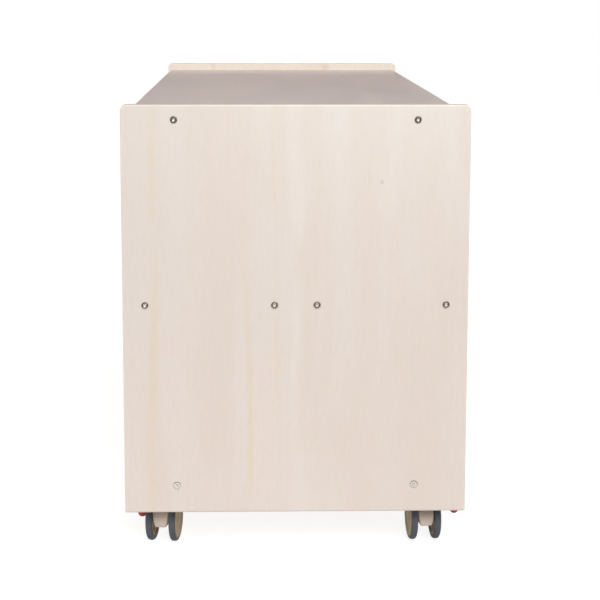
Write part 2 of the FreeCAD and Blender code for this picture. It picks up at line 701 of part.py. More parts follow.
def brake_lever(castor):
    """Lever with a toe bar beside the wheel, made about its pin and then swung to where it stands."""
    name = castor[0] + "_brake_lever"
    lever_side, swing = castor[4:]
    shift = "%d * (toe_shift)" % lever_side
    half = "lever_width / 2"
    lever = joined(name + "_blank", [
        rod(name + "_eye", "lever_eye_dia", "lever_width", ("0", "-" + half, "0"), "y"),
        block(name + "_arm", ("lever_arm", "lever_width", "lever_drop"),
              (shift + " / 2 - lever_arm / 2", "-" + half, "-lever_drop")),
        soft_rod(name + "_toe", "toe_dia", "toe_length",
                 (shift, "-toe_length / 2", "-lever_drop"), "y", "toe_round")])
    turn(lever, VECTOR(0, 1, 0), "%d * lever_swing" % (-lever_side * swing))
    pivot = "%d * lever_across" % lever_side
    place(lever, (pivot, "-lever_back", "lever_level"))
    bore = rod(name + "_bore", "lever_pin_dia + lever_pin_play", "lever_width",
               (pivot, "-lever_back - " + half, "lever_level"), "y")
    stand(node(cut(name, lever, [bore]), name), castor, True)
    pin_half = "ear_inner + ear_thick + lever_pin_end"
    pin = soft_rod(name + "_pin", "lever_pin_dia", "2 * (" + pin_half + ")",
                   (pivot, "-lever_back - (" + pin_half + ")", "lever_level"), "y", "pin_round")
    stand(node(pin, castor[0] + "_lever_pin"), castor, True)


def main():
    end_panel("end_panel_front", -1)
    end_panel("end_panel_back", 1)
    wide_board("top_board", "roof_base", "roof_line", "roof_base", [])
    bottom_board()
    middle_shelf("middle_shelf_left", -1)
    middle_shelf("middle_shelf_right", 1)
    centre_panel()
    panel_screws()
    dowels()
    castor_screws()
    for castor in CASTORS:
        mounting_plate(castor)
        kingpin(castor)
        swivel_balls(castor)
        hood(castor)
        axle(castor)
        wheel(castor, -1)
        wheel(castor, 1)
        brake_lever(castor)
    DOC.recompute()


def write_parts():
    """Write every node once each object and each shape is sound."""
    for thing in DOC.Objects:
        if "Invalid" in thing.State or "Error" in thing.State:
            raise RuntimeError("%s failed: %s" % (thing.Name, thing.State))
    for thing in NODES:
        if thing.Shape.isNull() or not thing.Shape.isValid() or not thing.Shape.Solids:
            raise RuntimeError("%s has no sound shape" % thing.Label)
    os.makedirs("parts", exist_ok=True)
    for thing in NODES:
        thing.Shape.exportStep("parts/%s.step" % thing.Label)


main()
write_parts()
print("%d nodes" % len(NODES))
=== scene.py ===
"""Looks of the mobile storage unit: birch plywood case, nickel screws and twin-wheel castors with brakes."""

import json
import math
from collections import namedtuple

import bpy
import numpy as np
from bpy.props import FloatProperty, FloatVectorProperty, IntProperty, PointerProperty
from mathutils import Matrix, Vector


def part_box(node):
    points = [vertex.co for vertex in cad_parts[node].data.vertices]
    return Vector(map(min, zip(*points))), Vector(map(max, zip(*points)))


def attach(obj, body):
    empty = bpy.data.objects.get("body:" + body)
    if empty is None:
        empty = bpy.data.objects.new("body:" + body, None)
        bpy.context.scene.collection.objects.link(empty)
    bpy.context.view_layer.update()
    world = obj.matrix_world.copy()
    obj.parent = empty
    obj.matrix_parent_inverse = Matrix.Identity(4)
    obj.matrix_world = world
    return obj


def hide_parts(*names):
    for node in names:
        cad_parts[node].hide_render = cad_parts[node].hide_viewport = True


bl_info = {
    "name": "Mobile Storage Unit",
    "version": (1, 0, 0),
    "blender": (4, 5, 0),
    "location": "3D View > Sidebar > Storage Unit",
    "description": "Dresses the packed storage unit with its finishes, castors and screws",
    "category": "Object",
}

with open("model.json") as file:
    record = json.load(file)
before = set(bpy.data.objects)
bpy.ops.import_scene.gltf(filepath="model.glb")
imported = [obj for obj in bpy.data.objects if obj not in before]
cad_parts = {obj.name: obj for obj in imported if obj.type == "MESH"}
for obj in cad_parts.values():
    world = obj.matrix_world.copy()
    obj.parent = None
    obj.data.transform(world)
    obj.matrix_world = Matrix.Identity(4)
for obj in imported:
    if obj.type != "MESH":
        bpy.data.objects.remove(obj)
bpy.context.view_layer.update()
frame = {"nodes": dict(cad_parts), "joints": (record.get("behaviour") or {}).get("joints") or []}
NODES = frame["nodes"]
JOINTS = {joint["name"]: joint for joint in frame["joints"]}

MM = 0.001
CORNERS = ("front_left", "front_right", "back_right", "back_left")
SIDES = (("left", -1), ("right", 1))
AXES = {"x": 0, "y": 1, "z": 2}
SHARP_ANGLE = math.radians(38)

# Where the panel screws sit in each end panel, in millimetres: across the unit and above the floor
SCREW_PLACES = ((159, 97.5), (159, 587.5), (28.1, 342.5), (199, 342.5))

Castor = namedtuple("Castor", "name x y yaw lever_side swing pivot_across pivot_back pivot_height")

# A board's thickness and grain are axes, and its knot is a place in millimetres. A streak has its place
# across the board and its half width in millimetres, its strength and its tone. Flecks is the strength of
# the short dark fibres.
Board = namedtuple("Board", "name thickness grain tone streaks flecks knot", defaults=(0.14, None))


def linear(code):
    """sRGB hex to linear red, green and blue."""
    share = np.array([int(code[place:place + 2], 16) for place in (0, 2, 4)]) / 255
    return tuple(np.where(share <= 0.04045, share / 12.92, ((share + 0.055) / 1.055) ** 2.4))


def length(label, note, millimetres):
    """Setting for a length."""
    return FloatProperty(name=label, description=note, default=millimetres * MM, min=0.0, unit="LENGTH")


def colour(label, note, code):
    """Setting for a colour, from its sRGB hex."""
    return FloatVectorProperty(name=label, description=note, default=linear(code), min=0.0, max=1.0,
                               subtype="COLOR")


# Settings

class FinishSettings(bpy.types.PropertyGroup):
    """Colours of the unit's materials."""
    veneer: colour("Veneer", "Birch face veneer, main tone", "E9DBD2")
    # The top veneer is darker than the panels' veneer: painted shade for the level top, lit at a grazing
    # angle, over a little pinker tone
    veneer_top_painted_shade: colour("Top veneer", "Veneer of the top board, a little pinker", "E4D3CE")
    # The back veneer is lighter: painted light on the back panel, whose lip behind the top board gets less
    # light than the front panel
    veneer_far_painted_light: colour("Back veneer", "Veneer of the back end panel, a little lighter", "F6ECE0")
    veneer_pink: colour("Pink figure", "Broad pinkish figure in the veneer", "E7D7CC")
    veneer_gold: colour("Gold streak", "Narrow yellowish streaks along the grain", "E6D2B4")
    veneer_fleck: colour("Fleck", "Short dark fibres in the veneer", "CBB5A2")
    veneer_pale: colour("Pale seam", "Pale band where two leaves of veneer meet", "F1E8E1")
    knot: colour("Pin knot", "Small dark knot", "8F7660")
    ply_light: colour("Light ply", "Plies cut along the grain, on board edges", "E8DBCC")
    ply_dark: colour("Dark ply", "Plies cut across the grain, on board edges", "CDB495")
    beech: colour("Beech", "Dowels", "CDA373")
    nickel: colour("Nickel", "Plating of the panel screws", "E6DDD3")
    zinc: colour("Zinc", "Plating of the castors' steel", "B4B7BA")
    nylon: colour("Beige nylon", "Hoods over the wheels", "DAC8B8")
    # The hub tone is darker and browner than the hood nylon: painted shade from under the unit over the
    # hubs' beige
    hub: colour("Beige hub", "Wheel hubs", "A18863")
    tyre: colour("Grey rubber", "Tyres", "5F6268")
    lever: colour("Red nylon", "Brake levers", "C03A3D")


class CastorSettings(bpy.types.PropertyGroup):
    """Sizes of the castors' moulded pieces."""
    trail: length("Trail", "Axle behind the swivel axis", 20)
    wheel_inner: length("Wheel inner face", "Wheel's inner face from the castor's middle", 11.5)
    wheel_width: length("Wheel width", "Width of one wheel", 9.2)
    wheel_radius: length("Wheel radius", "Radius of the tread", 31.5)
    hub_radius: length("Hub radius", "Radius at which the tyre sits on the hub", 27)
    shoulder: length("Tyre shoulder", "Rounding of the tyre's shoulders", 3.7)
    crown: length("Tread crown", "Rise of the tread's middle over its edges", 0.5)
    rib_count: IntProperty(name="Hub ribs", description="Ribs in the hub's inner pocket", default=6, min=0)
    rib_width: length("Rib width", "Width of a rib in the hub's pocket", 1.8)
    web_width: length("Hood width", "Width of the hood between the wheels", 22.2)
    foot_width: length("Hood foot", "Width of the hood at its lower edge", 16.0)
    foot_height: length("Foot height", "Hood's lower edge above the floor", 25.5)
    bonnet_height: length("Bonnet height", "Underside of the bonnet above the floor", 65)
    bonnet_thick: length("Bonnet thickness", "Thickness of the bonnet over the wheels", 5)
    turret_height: length("Turret height", "Top of the swivel turret above the floor", 82)
    ear_thick: length("Ear thickness", "Thickness of the ears that hold the lever's pin", 3)
    ear_gap: length("Ear gap", "Ears from the lever's middle", 6.3)
    toe_radius: length("Toe bar radius", "Radius of the lever's toe bar", 6)
    toe_length: length("Toe bar length", "Length of the lever's toe bar", 28)
    lever_drop: length("Lever drop", "Toe bar below the lever's pin", 29)
    lever_shift: length("Lever shift", "Toe bar inside the lever's pin", 1.3)
    grip_pitch: length("Grip pitch", "Spacing of the ribs on the toe bar", 3.2)


class ScrewSettings(bpy.types.PropertyGroup):
    """Sizes of the panel screws."""
    head_radius: length("Head radius", "Radius of the screw's head", 4.5)
    shank_radius: length("Shank radius", "Radius of the screw's shank", 3.5)
    screw_length: length("Length", "Length of the screw", 50)
    socket_radius: length("Socket", "Half the hexagon socket's size across its flats", 2)
    socket_depth: length("Socket depth", "Depth of the hexagon socket", 0.9)


class StageSettings(bpy.types.PropertyGroup):
    """Light and camera."""
    ambient: FloatProperty(name="Ambient", description="Light from all round", default=0.17, min=0.0)
    front: FloatProperty(name="Front light", description="Soft light from the front", default=1.97, min=0.0)
    back: FloatProperty(name="Back light", description="Soft light from behind", default=1.6, min=0.0)
    side: FloatProperty(name="Side light", description="Soft light from each long side", default=1.15,
                        min=0.0)
    glow_power: FloatProperty(name="Panel light", description="Small light on the top of the front panel",
                              default=1.6, min=0.0, unit="POWER")
    lens: FloatProperty(name="Lens", description="Focal length in millimetres", default=99.95, min=1.0,
                        unit="CAMERA")
    shift: FloatProperty(name="Shift", description="Vertical shift of the picture", default=-0.1)
    place: FloatVectorProperty(name="Camera place", description="Where the camera stands",
                               subtype="TRANSLATION", unit="LENGTH", default=(-0.0506, -2.7710, 0.7552))
    turn: FloatVectorProperty(name="Camera turn", description="Where the camera looks", subtype="EULER",
                              unit="ROTATION",
                              default=tuple(math.radians(angle) for angle in (81.4445, -0.1027, -1.4691)))


# Meshes

def shell(points, ring=False):
    """Closed surface from a grid of points (rows, columns, 3) that closes round its columns.

    A ring closes round its rows as well. Otherwise each end row is drawn together at its middle.
    The faces are turned outwards by the sign of the volume that they enclose.
    """
    rows, columns = points.shape[:2]
    index = np.arange(rows * columns).reshape(rows, columns)
    upper = np.roll(index, -1, axis=0) if ring else index[1:]
    lower = index if ring else index[:-1]
    quads = np.stack([lower, np.roll(lower, -1, 1), np.roll(upper, -1, 1), upper], axis=-1).reshape(-1, 4)
    places = points.reshape(-1, 3)
    fans = np.empty((0, 3), int)
    if not ring:
        ends = []
        for pole, row in enumerate((index[0][::-1], index[-1])):
            ends.append(np.stack([row, np.roll(row, -1), np.full(columns, rows * columns + pole)], axis=1))
        fans = np.vstack(ends)
        places = np.vstack([places, points[0].mean(0), points[-1].mean(0)])
    triangles = np.vstack([quads[:, :3], quads[:, [0, 2, 3]], fans])
    a, b, c = (places[triangles[:, corner]] for corner in range(3))
    if np.einsum("ij,ij->", a, np.cross(b, c)) < 0:
        quads, fans = quads[:, ::-1], fans[:, ::-1]
    return places, quads, fans


def rounded(corners, radii, steps=7):
    """Closed outline through corners, each drawn as a parabola that starts and ends its radius away."""
    corners = np.asarray(corners, float)
    reach = np.asarray(radii, float)[:, None]
    before = np.roll(corners, 1, axis=0) - corners
    after = np.roll(corners, -1, axis=0) - corners
    start = corners + before / np.linalg.norm(before, axis=1, keepdims=True) * reach
    end = corners + after / np.linalg.norm(after, axis=1, keepdims=True) * reach
    share = np.linspace(0, 1, steps)[None, :, None]
    arcs = ((1 - share) ** 2 * start[:, None] + 2 * share * (1 - share) * corners[:, None]
            + share ** 2 * end[:, None])
    return arcs.reshape(-1, 2)


def turned(profile, steps):
    """Profile of radius and place along the axis, carried round the X axis in equal steps."""
    angle = np.linspace(0, 2 * np.pi, steps, endpoint=False)[None, :]
    radius, along = profile[:, :1], profile[:, 1:]
    return np.stack([along + 0 * angle, radius * np.cos(angle), radius * np.sin(angle)], axis=-1)


def slab(outline, low, high, round_low, round_high, steps=5):
    """Plate between two heights over a convex outline, with its two rims rounded.

    A rim is a quarter circle: the outline moves in along its normal by the radius times one minus the
    sine of the angle, while the height moves by the radius times one minus the cosine.
    """
    step = np.roll(outline, -1, axis=0) - np.roll(outline, 1, axis=0)
    normal = np.stack([step[:, 1], -step[:, 0]], axis=1)
    normal /= np.linalg.norm(normal, axis=1, keepdims=True)
    centre = outline.mean(0)
    if np.einsum("ij,ij->", outline - centre, normal) < 0:
        normal = -normal
    angle = np.linspace(0, np.pi / 2, steps)
    inset = np.concatenate([round_low * (1 - np.sin(angle)), round_high * (1 - np.sin(angle[::-1]))])
    height = np.concatenate([low + round_low * (1 - np.cos(angle)),
                             high - round_high * (1 - np.cos(angle[::-1]))])
    flat = outline[None] - inset[:, None, None] * normal[None]
    return np.concatenate([flat, np.broadcast_to(height[:, None, None], flat.shape[:2] + (1,))], axis=2)


def corner_ring(steps):
    """Angles round the corners of a rounded rectangle, and the signs of each corner's place."""
    quarter = np.linspace(0, np.pi / 2, steps)
    angle = np.concatenate([quarter + turn * np.pi / 2 for turn in range(4)])
    return angle, np.repeat([1, -1, -1, 1], steps), np.repeat([1, 1, -1, -1], steps)


def make_piece(name, shells, finish, body, nodes):
    """One smooth mesh from closed shells, riding on a body in place of the CAD nodes."""
    starts = np.cumsum([0] + [len(places) for places, quads, fans in shells])
    faces = []
    for start, (places, quads, fans) in zip(starts, shells):
        faces += (quads + start).tolist() + (fans + start).tolist()
    mesh = bpy.data.meshes.new(name)
    mesh.from_pydata(np.vstack([places for places, quads, fans in shells]).tolist(), [], faces)
    if mesh.validate():
        raise RuntimeError(name + " has faulty faces")
    mesh.shade_smooth()
    mesh.set_sharp_from_angle(angle=SHARP_ANGLE)
    mesh.materials.append(finish)
    piece = bpy.data.objects.new(name, mesh)
    bpy.context.scene.collection.objects.link(piece)
    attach(piece, body)
    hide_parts(*nodes)


# Castors

def castors():
    """Place, turn and lever of every castor, from the joints."""
    found = []
    for corner in CORNERS:
        swivel = JOINTS[corner + "_swivel"]["pos_m"]
        axle = JOINTS[corner + "_left_wheel"]["axis"]
        brake = JOINTS[corner + "_brake"]
        yaw = math.atan2(axle[1], axle[0])
        away = np.subtract(brake["pos_m"], swivel)
        across = away[0] * math.cos(yaw) + away[1] * math.sin(yaw)
        back = away[1] * math.cos(yaw) - away[0] * math.sin(yaw)
        # A lever whose range ends at zero stands swung out at rest
        swing = 0.0 if brake["range_deg"][1] > 0 else math.radians(-brake["range_deg"][0])
        found.append(Castor("castor_" + corner, swivel[0], swivel[1], yaw, int(np.sign(across)), swing,
                            across, back, brake["pos_m"][2]))
    return found


def wheels():
    """Name, castor and side of every wheel."""
    return [(castor.name + "_" + word, castor, side) for castor in castors() for word, side in SIDES]


def stand(points, castor):
    """Turn points from a castor's own axes by its yaw, and move them under the unit."""
    cosine, sine = math.cos(castor.yaw), math.sin(castor.yaw)
    x, y, z = np.moveaxis(points, -1, 0)
    return np.stack([castor.x + x * cosine - y * sine, castor.y + x * sine + y * cosine, z], axis=-1)


def wheel_points(points, castor, side, sizes):
    """Move points made round the X axis, from the wheel's inner face outwards, to one side of the castor."""
    moved = points * np.array([side, 1, 1])
    moved = moved + np.array([side * sizes.wheel_inner, -sizes.trail, sizes.wheel_radius])
    return stand(moved, castor)


def tyre_profile(sizes):
    """Section of the tyre: crowned tread, round shoulders, a step to the hub and a lap over its inner rim.

    The tread's radius falls from its middle with the square of the distance across.
    """
    hub, tread, width = sizes.hub_radius, sizes.wheel_radius, sizes.wheel_width
    step, lip = 0.45 * MM, 0.7 * MM
    lap, wall = 1.2 * MM, 0.95 * MM
    seat, crease, rim, edge = 0.05 * MM, 0.1 * MM, 0.4 * MM, 0.2 * MM
    section = rounded(
        [(hub, wall), (hub - lap, wall), (hub - lap, 0), (tread, 0),
         (tread, width), (hub + lip, width), (hub + lip, width - step), (hub, width - step)],
        [seat, crease, rim, sizes.shoulder, sizes.shoulder, edge, edge, seat], steps=11)
    across = (section[:, 1] - width / 2) / (width / 2)
    weight = np.clip((section[:, 0] - hub - lip) / (tread - hub - lip), 0, 1)
    section[:, 0] -= sizes.crown * across ** 2 * weight
    return section


def hub_points(sizes, steps=168):
    """Hub turned about the axle, with ribs across the pocket of its inner face.

    The profile has radii and places along the axle in millimetres, from the wheel's inner face. In the
    pocket the floor rises to the rib's height where the distance from a rib's middle line, radius times the
    sine of the angle to it, is under half the rib's width, with a soft flank.
    """
    radius, width = sizes.hub_radius / MM, sizes.wheel_width / MM
    outer = [(0.5, width - 0.45), (6.4, width - 0.45), (7.0, width - 0.8), (19.6, width - 0.8),
             (21.0, width - 0.1), (21.8, width), (25.9, width), (26.5, width - 0.12),
             (radius - 0.35, width - 0.3), (radius, width - 0.7)]
    inner = [(radius, 1.4), (radius - 0.35, 1.1), (26.5, 1.0), (25.75, 1.0), (25.7, 0.5), (25.4, 0.2),
             (23.6, 0.2), (23.3, 0.4)]
    pocket = [(23.2, 1.2), (22.9, 1.6), (20.5, 1.7), (18.0, 1.7), (15.0, 1.7), (12.0, 1.7), (9.5, 1.7),
              (8.4, 1.6), (8.1, 1.2)]
    boss = [(8.0, 0.3), (7.7, 0.0), (4.4, 0.0), (4.05, 0.3), (4.05, 6.8), (0.5, 6.8)]
    profile = np.array(outer + inner + pocket + boss) * MM
    grid = turned(profile, steps)
    first = len(outer) + len(inner)
    rows = slice(first, first + len(pocket))
    angle = np.linspace(0, 2 * np.pi, steps, endpoint=False)[None, :]
    spacing = 2 * np.pi / max(sizes.rib_count, 1)
    off = (angle + spacing / 2) % spacing - spacing / 2
    distance = np.abs(profile[rows, :1] * np.sin(off))
    flank, crest = 0.7 * MM, 0.5 * MM
    rib = np.clip((sizes.rib_width / 2 + flank / 2 - distance) / flank, 0, 1) * (sizes.rib_count > 0)
    grid[rows, :, 0] -= rib * np.maximum(profile[rows, 1:] - crest, 0)
    return grid


def hood_web(sizes):
    """Hood between the wheels: rounded rectangles stacked from the foot to the bonnet.

    The width grows from the foot with a quarter sine. The back follows a circle round the axle, and the
    front leaves that circle for the upright neck by a smooth step. The lowest rows draw in by a quarter
    circle.
    """
    inside_tread, overlap, flare_height = 3.5 * MM, 0.5 * MM, 19 * MM
    neck_back, neck_front, neck_below, neck_rise = -36 * MM, 16 * MM, 5 * MM, 16 * MM
    eased, ease_depth, corner = 0.06, 1.2 * MM, 2.4 * MM
    axle, radius = sizes.wheel_radius, sizes.wheel_radius - inside_tread
    rise = np.concatenate([np.linspace(0, eased, 6), np.linspace(1.5 * eased, 1, 40)])
    level = sizes.foot_height + (sizes.bonnet_height + overlap - sizes.foot_height) * rise
    flare = np.clip((level - sizes.foot_height) / flare_height, 0, 1)
    width = sizes.foot_width + (sizes.web_width - sizes.foot_width) * np.sin(flare * np.pi / 2)
    chord = np.sqrt(np.maximum(radius ** 2 - (level - axle) ** 2, 0))
    back = np.minimum(-sizes.trail - chord, np.where(level > axle, neck_back, np.inf))
    neck = np.clip((level - axle + neck_below) / neck_rise, 0, 1)
    belly = chord.max() - sizes.trail
    front = belly + (neck_front - belly) * neck ** 2 * (3 - 2 * neck)
    share = rise / eased
    ease = ease_depth * (1 - np.sqrt(np.clip(2 * share - share ** 2, 0, 1))) * (rise < eased)
    angle, sign_x, sign_y = corner_ring(steps=9)
    half = (width / 2 - ease)[:, None]
    middle, reach = ((front + back) / 2)[:, None], ((front - back) / 2 - ease)[:, None]
    x = sign_x * (half - corner) + corner * np.cos(angle)
    y = middle + sign_y * (reach - corner) + corner * np.sin(angle)
    return np.stack([x, y, level[:, None] + 0 * x], axis=-1)


def turret_profile(sizes):
    """Ring of the swivel turret, with the balls' groove round its top.

    The groove is an arc of a circle a little larger than a ball, whose middle stands a lift above the top.
    """
    bore, outer, circle, ball, lift = 5.05 * MM, 20 * MM, 14.5 * MM, 2.55 * MM, 0.5 * MM
    low, high = sizes.bonnet_height + 1 * MM, sizes.turret_height
    half = math.sqrt(ball ** 2 - lift ** 2)
    swing = np.linspace(math.atan2(-lift, -half) + 2 * np.pi, math.atan2(-lift, half) + 2 * np.pi, 13)
    groove = np.stack([circle + ball * np.cos(swing), high + lift + ball * np.sin(swing)], axis=1)
    collar = [(bore, high - 0.4 * MM), (bore + 0.4 * MM, high)]
    rim = [(outer - 1.2 * MM, high), (outer - 0.4 * MM, high - 0.35 * MM), (outer, high - 1.2 * MM)]
    foot = [(outer, low + 3 * MM), (outer + 0.8 * MM, low + 1.2 * MM), (outer + 2.2 * MM, low), (bore, low)]
    return np.vstack([collar, groove, rim, foot])


def upright(points):
    """Turn points made round the X axis so that their axis stands along Z."""
    return points[..., [1, 2, 0]]


def lengthways(points):
    """Turn points made round the X axis so that their axis lies along Y."""
    return points[..., [1, 0, 2]]


def ear_points(castor, along, sizes):
    """Tongue that holds one end of the lever's pin: a plate across the castor with a round end.

    The outline is a half circle round the pin and a straight root into the bonnet.
    """
    radius, overlap, edge = 5 * MM, 1 * MM, 0.5 * MM
    root = sizes.wheel_inner + sizes.wheel_width - overlap
    angle = np.linspace(-np.pi / 2, np.pi / 2, 25)
    reach = abs(castor.pivot_across)
    tip = np.stack([reach + radius * np.cos(angle), castor.pivot_height + radius * np.sin(angle)], axis=1)
    base = np.array([(root, castor.pivot_height + radius), (root, castor.pivot_height - radius)])
    outline = np.vstack([tip, base])
    plate = slab(outline, along, along + sizes.ear_thick, edge, edge)
    return plate[..., [0, 2, 1]] * np.array([castor.lever_side, 1, 1])


def hood_shells(castor, sizes):
    """Web, bonnet, turret and the two ears of one hood."""
    overhang, back, front, corner = 0.7 * MM, -46 * MM, 20 * MM, 12 * MM
    under_edge, top_edge = 0.6 * MM, 2.4 * MM
    low, high = sizes.bonnet_height, sizes.bonnet_height + sizes.bonnet_thick
    half = sizes.wheel_inner + sizes.wheel_width + overhang
    outline = rounded([(-half, back), (half, back), (half, front), (-half, front)], [corner] * 4, steps=13)
    bonnet = slab(outline, low, high, under_edge, top_edge)
    turret = upright(turned(turret_profile(sizes), steps=96))
    ears = [ear_points(castor, castor.pivot_back + along, sizes)
            for along in (-sizes.ear_gap - sizes.ear_thick, sizes.ear_gap)]
    whole = [shell(stand(points, castor)) for points in (hood_web(sizes), bonnet, *ears)]
    return whole + [shell(stand(turret, castor), ring=True)]


def lever_eye():
    """Ring round the lever's pin: a rounded rectangle turned about it."""
    bore, outer, half = 2.05 * MM, 5 * MM, 6 * MM
    bore_edge, outer_edge = 0.3 * MM, 0.9 * MM
    section = rounded([(bore, -half), (outer, -half), (outer, half), (bore, half)],
                      [bore_edge, outer_edge, outer_edge, bore_edge])
    return lengthways(turned(section, steps=48))


def lever_arm(sizes, shift):
    """Arm from the eye to the toe bar: rounded rectangles that widen with the square of the way down."""
    top, corner = 3.2 * MM, 1.6 * MM
    depth, swell, width, spread = 3.0 * MM, 0.6 * MM, 5.6 * MM, 4.4 * MM
    share = np.linspace(0, 1, 22)[:, None]
    half_x, half_y = depth + swell * share ** 2, width + spread * share ** 2
    angle, sign_x, sign_y = corner_ring(steps=7)
    x = shift * share + sign_x * (half_x - corner) + corner * np.cos(angle)
    y = sign_y * (half_y - corner) + corner * np.sin(angle)
    drop = -top - (sizes.lever_drop - top) * share
    return np.stack([x, y, drop + 0 * x], axis=-1)


def toe_bar(sizes, shift):
    """Bar for the toe at the lever's lower end.

    Its radius drops by a cosine along its length, which gives the grip ribs, and its ends are quarter
    circles.
    """
    rib_depth, round_end, half = 0.32 * MM, 3 * MM, sizes.toe_length / 2
    along = np.linspace(-1, 1, 113)
    end = np.clip((np.abs(along) * half - (half - round_end)) / round_end, 0, 1)
    wave = 0.5 - 0.5 * np.cos(2 * np.pi * along * half / sizes.grip_pitch)
    radius = sizes.toe_radius - rib_depth * wave * (end == 0) - round_end * (1 - np.sqrt(1 - end ** 2))
    bar = lengthways(turned(np.stack([radius, along * half], axis=1), steps=48))
    return bar + np.array([shift, 0, -sizes.lever_drop])


def lever_shells(castor, sizes):
    """Eye, arm and toe bar of a brake lever, made about its pin, swung out and moved to the castor."""
    shift = -castor.lever_side * sizes.lever_shift
    tilt = -castor.lever_side * castor.swing
    cosine, sine = math.cos(tilt), math.sin(tilt)
    pieces = ((lever_eye(), True), (lever_arm(sizes, shift), False), (toe_bar(sizes, shift), False))
    shells = []
    for points, closed in pieces:
        x, y, z = np.moveaxis(points, -1, 0)
        swung = np.stack([x * cosine + z * sine + castor.pivot_across, y + castor.pivot_back,
                          z * cosine - x * sine + castor.pivot_height], axis=-1)
        shells.append(shell(stand(swung, castor), ring=closed))
    return shells


def screw_points(sizes, steps=72):
    """Panel screw along the Y axis from its flush head: hexagon socket, rim, cone, shank and point.

    A row has its radius and its depth in millimetres and its share of the hexagon. The radius is a mix of a
    circle and of a hexagon, whose radius is half its size across the flats over the cosine of the angle to
    the nearest flat's middle.
    """
    head, shank, socket = sizes.head_radius / MM, sizes.shank_radius / MM, sizes.socket_radius / MM
    depth, end = sizes.socket_depth / MM, sizes.screw_length / MM
    rows = np.array([
        (0.1, depth + 1.0, 1), (socket - 0.05, depth, 1), (socket, depth - 0.1, 1), (socket, 0.25, 1),
        (socket + 0.07, 0.12, 1), (socket + 0.2, 0.03, 1), (socket + 0.35, 0, 1), (head - 1.0, 0, 0),
        (head - 0.45, 0, 0), (head - 0.28, 0.04, 0), (head - 0.1, 0.14, 0), (head, 0.32, 0), (head, 1.2, 0),
        (shank, 2.8, 0), (shank, end - 3, 0), (shank / 2, end, 0)])
    angle = np.linspace(0, 2 * np.pi, steps, endpoint=False)[None, :]
    near = (angle + np.pi / 6) % (np.pi / 3) - np.pi / 6
    radius = rows[:, :1] * (1 - rows[:, 2:] + rows[:, 2:] / np.cos(near)) * MM
    return np.stack([radius * np.cos(angle), rows[:, 1:2] * MM + 0 * angle, radius * np.sin(angle)], axis=-1)


# Materials

def plug(tree, node, sockets):
    """Set or link a node's inputs by name or number. A node as a value stands for its first live output."""
    for key, value in dict(sockets).items():
        if isinstance(value, bpy.types.Node):
            value = next(socket for socket in value.outputs if socket.enabled)
        if isinstance(value, bpy.types.NodeSocket):
            tree.links.new(value, node.inputs[key])
        else:
            node.inputs[key].default_value = value


def add(tree, kind, sockets=(), **settings):
    """Add a node, give it its settings and plug its inputs."""
    node = tree.nodes.new(kind)
    for name, value in settings.items():
        setattr(node, name, value)
    plug(tree, node, sockets)
    return node


def blank(name):
    """New material with only its shader and output; gives the material, its tree and the shader."""
    finish = bpy.data.materials.new(name)
    finish.use_nodes = True
    tree = finish.node_tree
    return finish, tree, tree.nodes["Principled BSDF"]


def rgba(tone, depth=1.0):
    """Colour with its alpha, darkened by a depth under one."""
    return (*(depth * part for part in tone), 1.0)


def stretched(tree, spot, board, wide, long, **sockets):
    """Noise whose grains are this wide across a board's grain and this long along it, in millimetres."""
    sizes = {board.thickness: 400, board.grain: long}
    scale = [1 / (sizes.get(axis, wide) * MM) for axis in AXES]
    place = add(tree, "ShaderNodeMapping", {"Vector": spot, "Scale": scale})
    return add(tree, "ShaderNodeTexNoise", {"Vector": place, "Scale": 1.0, **sockets})


def laid(tree, under, over, value, low, high, at_low=0.0, at_high=1.0):
    """Tone laid over another, by a share that goes smoothly between two amounts as a value grows."""
    bounds = {0: value, 1: low, 2: high, 3: at_low, 4: at_high}
    share = add(tree, "ShaderNodeMapRange", bounds, interpolation_type="SMOOTHSTEP")
    return add(tree, "ShaderNodeMix", {0: share, 6: under, 7: over}, data_type="RGBA")


